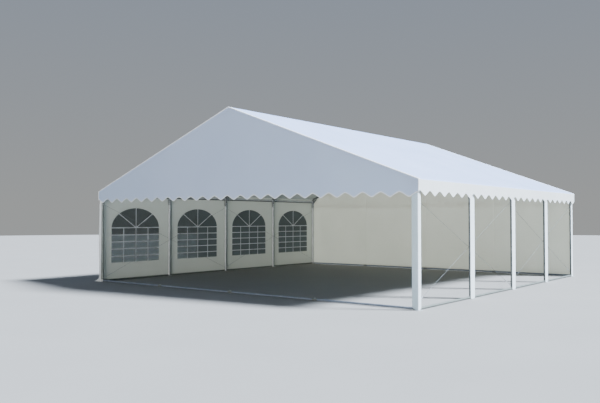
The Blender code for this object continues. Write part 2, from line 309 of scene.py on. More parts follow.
def add_sleeve(shape, start, end, outer, inner=0.0, rim=0.0012, weld=0.0, count=32):
    """Add a sleeve, or a bar where inner is 0, with broken rims; weld is the fillet at its start."""
    start, end = Vector(start), Vector(end)
    along = end - start
    reach = along.length
    turn = along.to_track_quat("Z", "Y").to_matrix()
    outline = [(inner, 0.0), (outer + weld, 0.0), (outer, weld + 0.0004), (outer, reach - rim),
               (outer - rim, reach), (inner, reach)]
    if not inner:
        outline = outline[1:-1]
    angles = [2 * math.pi * step / count for step in range(count)]
    rings = []
    for radius, rise in outline:
        ring = [Vector((radius * math.cos(angle), radius * math.sin(angle), rise)) for angle in angles]
        rings.append([shape.verts.new(start + turn @ corner) for corner in ring])
    pairs = list(zip(rings, rings[1:]))
    if inner:
        pairs.append((rings[-1], rings[0]))
    else:
        shape.faces.new(list(reversed(rings[0])))
        shape.faces.new(rings[-1])
    skin(shape, pairs)


def add_block(shape, outline, depth):
    """Add a plate: an outline of points swept by the vector depth."""
    below = [shape.verts.new(point) for point in outline]
    above = [shape.verts.new(Vector(point) + Vector(depth)) for point in outline]
    faces = [shape.faces.new(below), shape.faces.new(above)]
    for step in range(len(below)):
        faces.append(shape.faces.new((below[step - 1], below[step], above[step], above[step - 1])))
    bmesh.ops.recalc_face_normals(shape, faces=faces)


def shape_piece(name, shape, material, smooth_angle=tube_angle):
    """Turn a bmesh into a piece of one material."""
    mesh = bpy.data.meshes.new(name)
    shape.to_mesh(mesh)
    shape.free()
    mesh.materials.append(material)
    return link_piece(name, mesh, smooth_angle)


def join_pieces(name, *pieces):
    """One piece from several, with their materials."""
    with bpy.context.temp_override(active_object=pieces[0], object=pieces[0],
                                   selected_editable_objects=list(pieces), selected_objects=list(pieces)):
        bpy.ops.object.join()
    pieces[0].name = name
    pieces[0].data.name = name
    return pieces[0]


zinc = zinc_material("hot_dip_zinc", zinc_shades, 0.2)
trodden_and_shade_zinc = zinc_material("trodden_and_shade_zinc", trodden_and_shade_colours, 0.3)
weathered_and_shade_zinc = zinc_material("weathered_and_painted_shade_zinc", weathered_and_shade_colours, 0.35)
end_zinc = zinc_material("blue_grey_zinc", end_bar_shades, 0.3)
tube_tree = make_tube_tree()
bolt_tree = make_bolt_tree()

for side_name, side in sides:
    x = side * column_x
    lines = [((x, first + socket_radius - bar_overlap, ground_bar_height),
              (x, second - socket_radius + bar_overlap, ground_bar_height))
             for first, second in zip(bent_places, bent_places[1:])]
    bars = tubes("bars_" + side_name, lines, ground_bar_radius, trodden_and_shade_zinc)
    shoes = bmesh.new()
    pegs = []
    for y in bent_places:
        edge = []
        for across, along in ((1, -1), (1, 1), (-1, 1), (-1, -1)):
            inset = plate_half - plate_corner
            middle = Vector((x + across * inset, y + along * inset, 0))
            first = math.atan2(along, across) - math.pi / 4
            for step in range(5):
                angle = first + math.pi / 8 * step
                edge.append(middle + Vector((math.cos(angle), math.sin(angle), 0)) * plate_corner)
        add_block(shoes, edge, (0, 0, plate_thickness))
        add_sleeve(shoes, (x, y, plate_thickness - 0.0005), (x, y, shoe_height), socket_radius,
                   leg_radius + slip_fit, weld=shoe_weld)
        pegs += [((x + peg_reach * turn, y + peg_reach * turn, plate_thickness + 0.001), (0, 0, 1))
                 for turn in (-1, 1)]
    peg_heads = bolts("pegs_" + side_name, pegs, peg_head)
    plates = shape_piece("shoes_" + side_name, shoes, zinc)
    settle(join_pieces("ground_frame_" + side_name, bars, plates, peg_heads), "galvanised_tube",
           "ground_bar_" + side_name)

for end_name, end in ends:
    y = end * corner_y
    reach = column_x - socket_radius + 0.0005
    bars = tubes("bars_" + end_name, [((-reach, y, ground_bar_height), (reach, y, ground_bar_height))],
                 ground_bar_radius, end_zinc)
    couplers = bmesh.new()
    pins = bmesh.new()
    for place in bay_lines:
        add_sleeve(couplers, (place - coupler_reach, y, ground_bar_height),
                   (place + coupler_reach, y, ground_bar_height), coupler_radius, ground_bar_radius - 0.001)
        add_sleeve(pins, (place, y, 0.0), (place, y, pin_height), pin_radius, rim=0.004)
    joints = shape_piece("couplers_" + end_name, couplers, weathered_and_shade_zinc)
    stakes = shape_piece("pins_" + end_name, pins, zinc)
    settle(join_pieces("ground_tube_" + end_name, bars, joints, stakes), "dark_fittings",
           "ground_bar_" + end_name)

# --- Legs ----------------------------------------------------------------------------------
# Ten galvanised steel tubes, 54 mm across, that stand in the shoes and plug into the
# sockets of the eave rails. Those that no wall shelters are painted darker, as painted shade
# for the shadow of the covers hung over them.
leg_sides = 32
dull_shades = ("B8BDC0", "9CA2A6")
dull_zinc = zinc_material("dull_leg_zinc", dull_shades, 0.2)

for side_name, side in sides:
    for number, y in enumerate(bent_places, start=1):
        x = side * column_x
        # The front left leg takes the trodden zinc of the ground bars as painted shade from its strip; the
        # right legs take the darkest zinc as painted shade.
        left_leg_zinc = trodden_and_shade_zinc if number == 1 else dull_zinc
        leg = tubes("leg_tube_%s_%d" % (side_name, number), [((x, y, leg_low.z), (x, y, leg_high.z))],
                    leg_radius, weathered_and_shade_zinc if side > 0 else left_leg_zinc, leg_sides)
        settle(leg, "galvanised_tube", "leg_%s_%d" % (side_name, number))

# --- Eave rails ------------------------------------------------------------------------------
# Weathered tube along the leg heads. An upright socket with a cap takes each leg, a short
# sleeve welded to it takes the rafter's foot, and a gusset stiffens the knee.
rail_radius = 0.021
rail_inset = 0.02
rail_under_rafter = 0.0615
rafter_radius = 0.025
rafter_fit = 0.0003
sleeve_radius = 0.028
sleeve_start = 0.012
rafter_sleeve = 0.19
cap_thickness = 0.004
screw_head = (0.0085, 0.009)
socket_screws = (0.03, 0.075)
foot_screws = (0.10, 0.16)
gusset = (0.15, 0.11, 0.006)
ridge_height = 3.545
fold_height = 2.03
roof_x = 4.035
slope = math.atan((ridge_height - fold_height) / roof_x)
rafter_drop = (0.0043 + sleeve_radius) / math.cos(slope)
socket_low, socket_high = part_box("eave_rail_left")
rail_z = ridge_height - column_x * math.tan(slope) - rafter_drop - rail_under_rafter
rail_reach = socket_high.y


def rafter_z(across):
    """Height of the rafters' centre line at a distance from the ridge."""
    return ridge_height - abs(across) * math.tan(slope) - rafter_drop


def slope_axes(side):
    """Directions down one slope, and square to it towards the ground."""
    return (Vector((side * math.cos(slope), 0, -math.sin(slope))),
            Vector((-side * math.sin(slope), 0, -math.cos(slope))))


def long_tube(name, x, z, material):
    """A rail along the whole tent."""
    reach = rail_reach - rail_inset
    return tubes(name, [((x, -reach, z), (x, reach, z))], rail_radius, material)


def screws_under(middle, downhill, below, reaches):
    """Screws on the underside of a rafter's sleeve."""
    return [(middle + downhill * reach + below * sleeve_radius, below) for reach in reaches]


for side_name, side in sides:
    x = side * column_x
    rail = long_tube("rail_" + side_name, x, rail_z, zinc)
    sockets = bmesh.new()
    screws = []
    downhill, below = slope_axes(side)
    inwards = -downhill
    for y in bent_places:
        add_sleeve(sockets, (x, y, socket_high.z), (x, y, socket_low.z), socket_radius,
                   leg_radius + slip_fit)
        add_sleeve(sockets, (x, y, socket_high.z - cap_thickness), (x, y, socket_high.z),
                   socket_radius - 0.0005)
        head = Vector((x, y, rafter_z(column_x)))
        add_sleeve(sockets, head + inwards * sleeve_start, head + inwards * rafter_sleeve, sleeve_radius,
                   rafter_radius + rafter_fit)
        knee = Vector((x - side * (socket_radius - 0.002), y - gusset[2] / 2, head.z - 0.03))
        add_block(sockets, [knee, knee + Vector((0, 0, -gusset[1])),
                            knee + inwards * gusset[0] * 0.98 + Vector((0, 0, -0.004))], (0, gusset[2], 0))
        screws += [((x - side * socket_radius, y, socket_low.z + rise), (-side, 0, 0))
                   for rise in socket_screws]
        screws += screws_under(head, inwards, below, foot_screws)
    # The leg sockets take the dark zinc: partly weathered, partly painted shade from the roof over them.
    sleeves = shape_piece("sockets_" + side_name, sockets, weathered_and_shade_zinc)
    heads = bolts("screws_" + side_name, screws, screw_head)
    settle(join_pieces("eave_frame_" + side_name, rail, sleeves, heads), "dark_fittings",
           "eave_rail_" + side_name)

# --- Rafters, ridge and purlins ---------------------------------------------------------------
# Galvanised tubes up both slopes at each pair of legs. The ridge tube carries a pair of
# sockets at each of them, and a purlin half way up each slope is clamped on by sleeves.
rafter_sides = 28
rafter_gap = 0.03
ridge_sleeve = 0.16
purlin_sleeve = 0.07
purlin_screws = (-0.045, 0.045)
crown_screws = (0.08, 0.13)
web_width = 0.12
web_thickness = 0.006
web_top = 0.02
web_foot = 0.105

for side_name, side in sides:
    for number, y in enumerate(bent_places, start=1):
        foot_x = column_x - rail_inset
        foot = Vector((side * foot_x, y, rafter_z(foot_x)))
        top = Vector((side * rafter_gap, y, rafter_z(rafter_gap)))
        rafter = tubes("rafter_tube_%s_%d" % (side_name, number), [(foot, top)], rafter_radius, weathered_and_shade_zinc,
                       rafter_sides)
        settle(rafter, "galvanised_tube", "rafter_%s_%d" % (side_name, number))
    purlin_x = side * column_x / 2
    purlin = long_tube("purlin_bar_" + side_name, purlin_x, rafter_z(purlin_x), zinc)
    clamps = bmesh.new()
    screws = []
    downhill, below = slope_axes(side)
    for y in bent_places:
        middle = Vector((purlin_x, y, rafter_z(purlin_x)))
        add_sleeve(clamps, middle - downhill * purlin_sleeve, middle + downhill * purlin_sleeve,
                   sleeve_radius, rafter_radius + rafter_fit)
        screws += screws_under(middle, downhill, below, purlin_screws)
    sleeves = shape_piece("clamps_" + side_name, clamps, weathered_and_shade_zinc)
    heads = bolts("clamp_screws_" + side_name, screws, screw_head)
    settle(join_pieces("purlin_tube_" + side_name, purlin, sleeves, heads), "galvanised_tube",
           "purlin_" + side_name)

ridge = long_tube("ridge_bar", 0, rafter_z(0), weathered_and_shade_zinc)
sockets = bmesh.new()
screws = []
for y in bent_places:
    crown = Vector((0, y, rafter_z(0)))
    for side_name, side in sides:
        downhill, below = slope_axes(side)
        add_sleeve(sockets, crown + downhill * sleeve_start, crown + downhill * ridge_sleeve, sleeve_radius,
                   rafter_radius + rafter_fit)
        screws += screws_under(crown, downhill, below, crown_screws)
    web_side = web_top + web_width * math.tan(slope)
    corners = ((0, web_top), (-web_width, web_side), (0, web_foot), (web_width, web_side))
    web = [crown + Vector((across, -web_thickness / 2, -down)) for across, down in corners]
    add_block(sockets, web, (0, web_thickness, 0))
sleeves = shape_piece("ridge_sockets", sockets, weathered_and_shade_zinc)
heads = bolts("ridge_screws", screws, screw_head)
settle(join_pieces("ridge_frame", ridge, sleeves, heads), "dark_fittings", "ridge_rail")

# --- Wire braces -------------------------------------------------------------------------------
# Six-strand steel wire rope of 6 mm, crossed over each pair of bays. A turnbuckle at the
# foot tightens it, and hooks at both ends hold on to eyes bolted to the legs.
rope_radius = 0.0028
strand_radius = 0.0011
rope_lay = 0.06
rope_rows_per_lay = 5
wire_gap = 0.0033
layer_step = 0.0063
eye_radius = 0.011
hook_reach = 0.075
turnbuckle_reach = 0.25
eye_bolt_radius = 0.007
eye_ring = (0.0085, 0.0022)
hook_radius = 0.0032
ferrule_radius = 0.0052
rod_radius = 0.0034
nut_radius = 0.0075
body_radius = 0.0022
body_spread = 0.0055
wire_light = "767B7D"
wire_dark = "55595B"


def wire_material():
    """Drawn galvanised wire, painted a darker grey than the tubes as painted shade for the braces, mottled
    with grey dirt between the strands.
    """
    made, tree, shader, place = blank_material("galvanised_wire_rope", Metallic=0.4, Roughness=0.55)
    feed(tree, shader, {"Base Color": blend(tree, clouding(tree, place, 30.0, 3.0), wire_dark, wire_light)})
    return made


def make_rope_tree():
    """Strands laid round the path that each edge of the base mesh gives."""
    tree, given = new_geometry_tree("wire_rope", Rope="Float", Strand="Float", Lay="Float", Rows="Int")
    line = node_out(tree, "GeometryNodeMeshToCurve", {"Mesh": given["Geometry"]})
    rows = node_out(tree, "GeometryNodeResampleCurve", {"Curve": line, "Count": given["Rows"]})
    along = node_out(tree, "GeometryNodeSplineParameter", output="Length")
    lays = node_out(tree, "ShaderNodeMath", {0: along, 1: given["Lay"]}, operation="DIVIDE")
    twisted = node_out(tree, "GeometryNodeSetCurveTilt", {
        "Curve": rows, "Tilt": product(tree, lays, 2 * math.pi)})
    ring = node_out(tree, "GeometryNodeCurvePrimitiveCircle", {"Resolution": 6, "Radius": given["Rope"]})
    strand = node_out(tree, "GeometryNodeCurvePrimitiveCircle", {
        "Resolution": 4, "Radius": given["Strand"]})
    bundle = node_out(tree, "GeometryNodeInstanceOnPoints", {"Points": ring, "Instance": strand})
    section = node_out(tree, "GeometryNodeRealizeInstances", {"Geometry": bundle})
    return close_tree(tree, given, sweep(tree, twisted, section))


def add_ring(shape, centre, normal, radius, thickness, count=20, around=6):
    """Add a closed ring of round bar."""
    turn = Vector(normal).to_track_quat("Z", "Y").to_matrix()
    rings = []
    for step in range(count):
        angle = 2 * math.pi * step / count
        out = Vector((math.cos(angle), math.sin(angle), 0))
        ring = []
        for part in range(around):
            swing = 2 * math.pi * part / around
            rise = Vector((0, 0, thickness * math.sin(swing)))
            corner = out * (radius + thickness * math.cos(swing)) + rise
            ring.append(shape.verts.new(Vector(centre) + turn @ corner))
        rings.append(ring)
    for step, ring in enumerate(rings):
        after = rings[(step + 1) % count]
        for part in range(around):
            beside = (part + 1) % around
            shape.faces.new((ring[part], after[part], after[beside], ring[beside]))


drawn_wire = wire_material()
rope_tree = make_rope_tree()
for side_name, side in sides:
    for number in range(1, 5):
        node = "brace_wire_%s_%d" % (side_name, number)
        low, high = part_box(node)
        layer = (number - 1) % 2
        depth = leg_radius + wire_gap + layer * layer_step
        x = side * (column_x - depth)
        head = Vector((x, low.y + eye_radius, high.z - eye_radius))
        foot = Vector((x, high.y - eye_radius, low.z + eye_radius))
        if layer:
            head.y, foot.y = foot.y, head.y
        along = (foot - head).normalized()
        rope_start = head + along * hook_reach
        rope_end = foot - along * turnbuckle_reach
        rows = int((rope_end - rope_start).length / rope_lay * rope_rows_per_lay)
        rope = grow("rope_%s_%d" % (side_name, number), edge_mesh([(rope_start, rope_end)]), rope_tree,
                    {"Rope": rope_radius - strand_radius, "Strand": strand_radius, "Lay": rope_lay,
                     "Rows": rows, "Material": drawn_wire}, 60)
        fitting = bmesh.new()
        across = Vector((1, 0, 0))
        for eye, direction in ((head, along), (foot, -along)):
            add_sleeve(fitting, eye + across * side * (depth - leg_radius + 0.0005),
                       eye - across * side * 0.004, eye_bolt_radius, count=16)
            add_ring(fitting, eye + direction * 0.004, across, *eye_ring)
            add_sleeve(fitting, eye + direction * 0.012, eye + direction * 0.04, hook_radius, count=12)
        add_sleeve(fitting, rope_start - along * 0.04, rope_start + along * 0.012, ferrule_radius, count=14)
        for start, end, radius, count in ((-0.012, 0.05, ferrule_radius, 14), (0.04, 0.08, rod_radius, 12),
                                          (0.075, 0.091, nut_radius, 14), (0.165, 0.181, nut_radius, 14)):
            add_sleeve(fitting, rope_end + along * start, rope_end + along * end, radius, count=count)
        upright = along.cross(across)
        for hand in (-1, 1):
            bar_start = rope_end + along * 0.08 + upright * hand * body_spread
            add_sleeve(fitting, bar_start, bar_start + along * 0.092, body_radius, count=10)
        add_sleeve(fitting, rope_end + along * 0.17, foot - along * 0.03, rod_radius, count=12)
        grips = shape_piece("ends_%s_%d" % (side_name, number), fitting, zinc)
        settle(join_pieces("brace_rope_%s_%d" % (side_name, number), rope, grips), "steel_wire", node)

# --- Roof cover ------------------------------------------------------------------------------
# One sheet of white coated polyester over both slopes, welded from 2 m widths and hemmed at
# the ends. It folds over the eaves, and its scalloped edges are bound with bright tape. Its
# slopes are tinted blue as painted skylight, its valances cream as painted light bounced up
# from the ground, and its underside darker as painted shade.
cloth_thickness = 0.0015
roof_skin = 0.0025
roof_end = 4.035
half_length = 4.0
valance_drop = 0.259
scallop_depth = 0.082
lobe_sharpness = 0.9
scallops_per_side = 24
points_per_scallop = 16
side_shift = 2 / 16
tip_column = 10
fold_rows = 10
fold_steps = 5
slope_steps = 30
crown_steps = 4
piping_radius = 0.007
fold_radius = 0.012
ridge_radius = 0.03
sag_between_rafters = 0.013
sag_on_purlin = 0.004
seam_half_width = 0.014
seam_thickness = 0.0008
hem_width = 0.045
hem_thickness = 0.003
tape_half_width = 0.008
tape_thickness = 0.0022
thread_scale = 1 / 0.006 / 6.283
roof_sky_tint_colours = ("C0D6FF", "B9CFFA")
underside_shade_colours = ("C4CBC8", "BAC2BF")
valance_bounce_colours = ("E0E4E3", "D9DEDD")
roof_glow = "AAACA2"
tape_white = "F8FAFC"
tape_shade = "E4E9EE"
splash_brown = "8F8F80"


def show(tree, share, first, second):
    """Send a mix of two shaders to the material's surface."""
    mixed = node_out(tree, "ShaderNodeMixShader", {0: share, 1: first, 2: second})
    feed(tree, tree.nodes["Material Output"], {"Surface": mixed})


def cloth_material(name, shades, glow_tint, through=0.26, roughness=0.5):
    """Coated polyester: thread grid under a smooth skin, faint clouding, some light let through.
    The threads lie 1 mm apart, finer than the render shows, so they are drawn 6 mm apart."""
    light, shade = shades
    made, tree, shader, place = blank_material(name, IOR=1.5)
    metres = node_out(tree, "ShaderNodeUVMap", output="UV", uv_map="metres")
    warp, weft = [node_out(tree, "ShaderNodeTexWave", {
        "Vector": metres, "Scale": thread_scale, "Distortion": 0.3, "Detail": 1.0}, "Fac",
        bands_direction=direction) for direction in ("X", "Y")]
    clouds = clouding(tree, place, 1.1, 4.0, 0.6)
    clean = blend(tree, remap(tree, clouds, 0.3, 0.7), shade, light)
    stain = ground_dirt(tree, place, clouds, 0.22, 0.02, 0.22)
    folds = bump(tree, clouding(tree, place, 7.0, 3.0), 0.25, 0.004)
    relief = bump(tree, product(tree, warp, weft), 0.2, 0.0004, Normal=folds)
    feed(tree, shader, {"Sheen Weight": 0.08, "Base Color": blend(tree, stain, clean, splash_brown),
                        "Roughness": remap(tree, clouds, 0.0, 1.0, roughness - 0.08, roughness + 0.08),
                        "Normal": relief})
    glow = node_out(tree, "ShaderNodeBsdfTranslucent", {"Color": colour(glow_tint), "Normal": relief})
    show(tree, through, shader.outputs[0], glow)
    return made


def tape_material(name, through):
    """Bright coated tape, smoother and whiter than the cover that it binds."""
    made, tree, shader, place = blank_material(name, Roughness=0.42, IOR=1.5)
    grain = clouding(tree, place, 40.0)
    tint = blend(tree, grain, tape_shade, tape_white)
    relief = bump(tree, grain, 0.15, 0.0008)
    feed(tree, shader, {"Base Color": tint, "Normal": relief})
    glow = node_out(tree, "ShaderNodeBsdfTranslucent", {"Color": tint, "Normal": relief})
    show(tree, through, shader.outputs[0], glow)
    return made


def cloth_piece(name, rows, flat, material, thickness=cloth_thickness, closed=False):
    """A sheet from rows of points. flat gives each point's place on the flat cloth in metres,
    or the two axes that it is read from. The face looks outwards and the thickness goes inwards."""
    if isinstance(flat, str):
        flat = [[(getattr(point, flat[0]), getattr(point, flat[1])) for point in row] for row in rows]
    count = len(rows[0])
    faces = []
    for line in range(len(rows) - 1):
        for step in range(count if closed else count - 1):
            after = (step + 1) % count
            faces.append((line * count + step, line * count + after,
                          (line + 1) * count + after, (line + 1) * count + step))
    mesh = bpy.data.meshes.new(name)
    mesh.from_pydata([tuple(point) for row in rows for point in row], [], faces)
    places = np.array([place for row in flat for place in row], float)
    layer = mesh.uv_layers.new(name="metres")
    corners = np.zeros(len(mesh.loops), int)
    mesh.loops.foreach_get("vertex_index", corners)
    layer.data.foreach_set("uv", places[corners].ravel())
    mesh.materials.append(material)
    piece = link_piece(name, mesh)
    solidify = piece.modifiers.new("thickness", "SOLIDIFY")
    solidify.thickness = thickness
    solidify.offset = -1
    solidify.use_even_offset = True
    return bake_modifiers(piece, 45)


def path_mesh(points):
    """A mesh of one chain of edges through the points."""
    mesh = bpy.data.meshes.new("path")
    edges = [(step, step + 1) for step in range(len(points) - 1)]
    mesh.from_pydata([tuple(point) for point in points], edges, [])
    return mesh


def tape_piece(name, path, out, material, around=8):
    """Tape bound round the edge of a sheet that looks along out: an oval carried along a path."""
    shape = bmesh.new()
    rings = []
    for step, point in enumerate(path):
        before, after = path[max(step - 1, 0)], path[min(step + 1, len(path) - 1)]
        across = (after - before).normalized().cross(out).normalized()
        if across.z < 0:
            across.negate()
        centre = point + across * (tape_half_width - 0.001)
        ring = []
        for part in range(around):
            swing = 2 * math.pi * (part + 0.5) / around
            offset = across * tape_half_width * math.cos(swing) * 1.05 + \
                out * tape_thickness * math.sin(swing)
            ring.append(shape.verts.new(centre + offset))
        rings.append(ring)
    skin(shape, zip(rings, rings[1:]))
    shape.faces.new(rings[0])
    shape.faces.new(rings[-1])
    bmesh.ops.recalc_face_normals(shape, faces=shape.faces)
    return shape_piece(name, shape, material, 50)


def scallop_lift(share, shift):
    """Height of the edge over its tips: half way between a soft wave and a zigzag.
    The shift is the share of a scallop that the row is moved along."""
    place = share * scallops_per_side - shift
    zigzag = 1 - 2 * abs(place - round(place))
    wave = 0.5 + 0.5 * math.cos(2 * math.pi * place)
    return scallop_depth * max((zigzag + wave) / 2, 0.0) ** lobe_sharpness


def bay_sag(y):
    """0 over a rafter and 1 half way between two, along the tent."""
    if abs(y) >= corner_y:
        return 0.0
    step = max(number for number in range(4) if bent_places[number] <= y)
    share = (y - bent_places[step]) / (bent_places[step + 1] - bent_places[step])
    return math.sin(math.pi * share) ** 2


def roof_profile():
    """Stations across the roof from the left hem to the right: (x, z, normal, sag, drop).
    drop is the share of the valance's height below the fold, or None on the slopes."""
    edge_x = roof_x - roof_skin
    line_z = ridge_height - roof_skin / math.cos(slope)
    centre = Vector((edge_x - fold_radius, 0, 0))
    centre.z = line_z - centre.x * math.tan(slope) - fold_radius / math.cos(slope)
    stations = [(edge_x, centre.z, Vector((1, 0, 0)), 0.0, 1 - step / fold_rows)
                for step in range(fold_rows)]
    for step in range(fold_steps + 1):
        turn = (math.pi / 2 - slope) * step / fold_steps
        out = Vector((math.cos(turn), 0, math.sin(turn)))
        place = centre + out * fold_radius
        stations.append((place.x, place.z, out, 0.0, None if step else 0.0))
    start_x = stations[-1][0]
    end_x = (ridge_radius - roof_skin) * math.sin(slope)
    purlin_x = column_x / 2
    up = Vector((math.sin(slope), 0, math.cos(slope)))
    for step in range(1, slope_steps):
        x = start_x + (end_x - start_x) * step / slope_steps
        share = (x - purlin_x) / (column_x - purlin_x) if x > purlin_x else x / purlin_x
        spread = math.sin(math.pi * min(max(share, 0.0), 1.0))
        sag = sag_on_purlin * min(1.0, 2.2 * x / column_x * (1 - x / roof_x) * 2) + \
            (sag_between_rafters - sag_on_purlin) * spread
        stations.append((x, line_z - x * math.tan(slope), up, sag, None))
    crown = ridge_height - ridge_radius / math.cos(slope)
    reach = ridge_radius - roof_skin
    for step in range(crown_steps + 1):
        turn = slope * (1 - step / crown_steps)
        out = Vector((math.sin(turn), 0, math.cos(turn)))
        stations.append((reach * out.x, crown + reach * out.z, out, 0.0, None))
    mirrored = [(-x, z, Vector((-out.x, 0, out.z)), sag, drop) for x, z, out, sag, drop in stations[:-1]]
    return mirrored + list(reversed(stations))


def roof_point(station, y, lift=0.0):
    """Place on the roof's outer face at one station and one distance along the tent."""
    x, z, out, sag, drop = station
    if drop is not None:
        side = 1 if x > 0 else -1
        edge = fold_height - valance_drop + scallop_lift((y + roof_end) / (2 * roof_end), side_shift)
        z -= (z - edge) * drop
        wave = noise.noise(Vector((y * 1.7, side * 9.3, 0.4))) * 0.006 * drop ** 1.5
        wave += math.sin(y * 9.7 + side) * 0.0016 * drop ** 2
        return Vector((x + side * (wave + lift - 0.003 * drop), y, z))
    ripple = noise.noise(Vector((x * 0.7, y * 3.1, 2.0))) * 0.0016
    slack = (sag * bay_sag(y)) + (ripple if sag else 0.0) * min(1.0, sag / 0.004)
    return Vector((x, y, z)) + out * (lift - max(slack, 0.0))


def spread_out(first, last, steps):
    """Evenly spaced places from the first to the last."""
    return [first + (last - first) * step / steps for step in range(steps + 1)]


# The slopes' cloth is tinted blue as painted skylight.
roof_cloth = cloth_material("coated_roof_polyester", roof_sky_tint_colours, roof_glow)
valance_bounce_cloth = cloth_material("valance_painted_bounce_polyester", valance_bounce_colours, roof_glow)
underside_shade_cloth = cloth_material("roof_underside_painted_shade_polyester", underside_shade_colours, roof_glow)
edge_tape = tape_material("welded_edge_tape", 0.15)
profile = roof_profile()
along_count = scallops_per_side * points_per_scallop
ys = spread_out(-roof_end, roof_end, along_count)
rows = [[roof_point(station, y) for y in ys] for station in profile]
runs = [0.0]
for row, after in zip(rows, rows[1:]):
    runs.append(runs[-1] + (after[tip_column] - row[tip_column]).length)
roof = cloth_piece("roof_sheet", rows, [[(run, y) for y in ys] for run in runs], roof_cloth)
roof.data.materials.append(valance_bounce_cloth)
roof.data.materials.append(underside_shade_cloth)
# Faces below the fold take a creamier copy of the cloth, painted light for the warm light bounced up from
# the ground.
for face in roof.data.polygons:
    if face.center.z < fold_height - 0.01:
        face.material_index = 1
    # Faces that look down take a darker copy of the cloth as painted shade.
    elif face.normal.z < -0.3:
        face.material_index = 2


def roof_band(name, band_ys, lifts, material, thickness):
    """A strip welded on across the roof, between both folds."""
    on_roof = [(station, run) for station, run in zip(profile, runs) if not station[4]]
    band = [[roof_point(station, y, lift) for y, lift in zip(band_ys, lifts)] for station, run in on_roof]
    band_flat = [[(run, y) for y in band_ys] for station, run in on_roof]
    return cloth_piece(name, band, band_flat, material, thickness)


roof_tapes = []
for side_name, side in sides:
    path = [point - Vector((side * cloth_thickness / 2, 0, 0)) for point in rows[0 if side < 0 else -1]]
    roof_tapes.append(tape_piece("valance_tape_" + side_name, path, Vector((side, 0, 0)), edge_tape))
for end_name, end in ends:
    hem_ys = [end * (roof_end - hem_width), end * (roof_end - hem_width * 0.96), end * (roof_end + 0.0012)]
    hem_lifts = [0.0002, 0.0016, 0.0016]
    if end < 0:
        hem_ys.reverse()
        hem_lifts.reverse()
    roof_tapes.append(roof_band("roof_hem_" + end_name, hem_ys, hem_lifts, edge_tape, hem_thickness))
for end_name, end in ends:
    path = [roof_point(station, end * roof_end, -0.001) for station in profile]
    roof_tapes.append(grow("roof_piping_" + end_name, path_mesh(path), tube_tree,
                           {"Radius": piping_radius, "Sides": 10, "Material": edge_tape}, 40))
for number, seam_y in enumerate(bay_lines, start=1):
    seam_ys = [seam_y + seam_half_width * share for share in (-1.0, -0.8, 0.8, 1.0)]
    roof_tapes.append(roof_band("roof_seam_%d" % number, seam_ys, (0.0, 0.0011, 0.0011, 0.0), roof_cloth,
                                seam_thickness))
for piece in roof_tapes:
    settle(piece, "roof_fabric")
settle(roof, "roof_fabric", "roof_cover")

# --- Gables ------------------------------------------------------------------------------------
# A triangle of coated polyester closes each end above the eaves. Its scalloped lower edge is
# bound with a more see-through tape than the roof's, and a hem runs along both slopes.
gable_half = 4.0302
gable_skin = 0.0025
roof_underside = 0.0045
gable_rows = 26
gable_hem = 0.05
gable_shift = -1 / 16
gable_slack = 0.024
# The gable cloth is tinted blue as painted skylight.
gable_sky_tint_colours = ("CCDAF0", "C5D3EB")
front_glow = "C9DAEE"
rear_glow = "F4F6F6"


def gable_top(x):
    """Height of the roof's underside over a gable."""
    crown = ridge_height - ridge_radius / math.cos(slope)
    reach = ridge_radius - roof_underside
    if abs(x) < reach * math.sin(slope):
        return crown + math.sqrt(reach ** 2 - x * x)
    return ridge_height - abs(x) * math.tan(slope) - roof_underside / math.cos(slope)


def gable_foot(x):
    """Height of a gable's scalloped edge, whose cloth hangs a little deeper towards the right."""
    share = (x + gable_half) / (2 * gable_half)
    slack = max(share, 0.0) ** 4
    return fold_height - valance_drop - gable_slack * slack + scallop_lift(share, gable_shift * (1 - slack))


def gable_point(end, x, share, lift=0.0):
    """Place on a gable's outer face, at a share of its height over the scalloped edge."""
    low = gable_foot(x)
    z = low + (gable_top(x) - low) * share
    room = max(1 - (abs(x) / gable_half) ** 2, 0.0)
    belly = 0.010 * room * math.sin(math.pi * min(share * 0.9 + 0.1, 1.0)) if share < 1 else 0.0
    belly += noise.noise(Vector((x * 1.6, z * 1.1, end * 5.0))) * 0.004 * (1 - share ** 6)
    ripple = 0.004 * noise.noise(Vector((x * 3.1, 7.7, end))) + 0.0012 * math.sin(x * 11.0)
    belly += (1 - share) ** 3 * ripple
    return Vector((x, end * (roof_end - gable_skin + max(belly, -0.002) + lift), z))


gable_tape = tape_material("gable_edge_tape", 0.35)
xs = spread_out(-gable_half, gable_half, along_count)
# The rear gable lets through far more light than the front one, with a whiter glow, as painted light so
# that the rear wall's top is not left in its shade.
for (end_name, end), glow_tint, through in zip(ends, (front_glow, rear_glow), (0.5, 0.88)):
    gable_cloth = cloth_material("coated_%s_gable_polyester" % end_name, gable_sky_tint_colours, glow_tint, through)
    rows = [[gable_point(end, x, step / gable_rows) for x in xs] for step in range(gable_rows + 1)]
    if end > 0:
        rows = [list(reversed(row)) for row in rows]
    gable = cloth_piece(end_name + "_gable_sheet", rows, "xz", gable_cloth)
    path = [point - Vector((0, end * cloth_thickness / 2, 0)) for point in rows[0]]
    tape = tape_piece(end_name + "_gable_tape", path, Vector((0, end, 0)), gable_tape)
    hem_rows = []
    for x in xs:
        height = gable_top(x) - gable_foot(x)
        hem_rows.append([gable_point(end, x, min(1 - down / height, 1.0), lift)
                         for down, lift in ((gable_hem, 0.0), (gable_hem * 0.93, 0.0012), (0.0, 0.0012))])
    if end < 0:
        hem_rows.reverse()
    hem = cloth_piece(end_name + "_gable_hem", hem_rows, "xz", gable_cloth, 0.001)
    for piece in (tape, hem):
        settle(piece, "roof_fabric")
    settle(gable, "roof_fabric", end_name + "_gable")

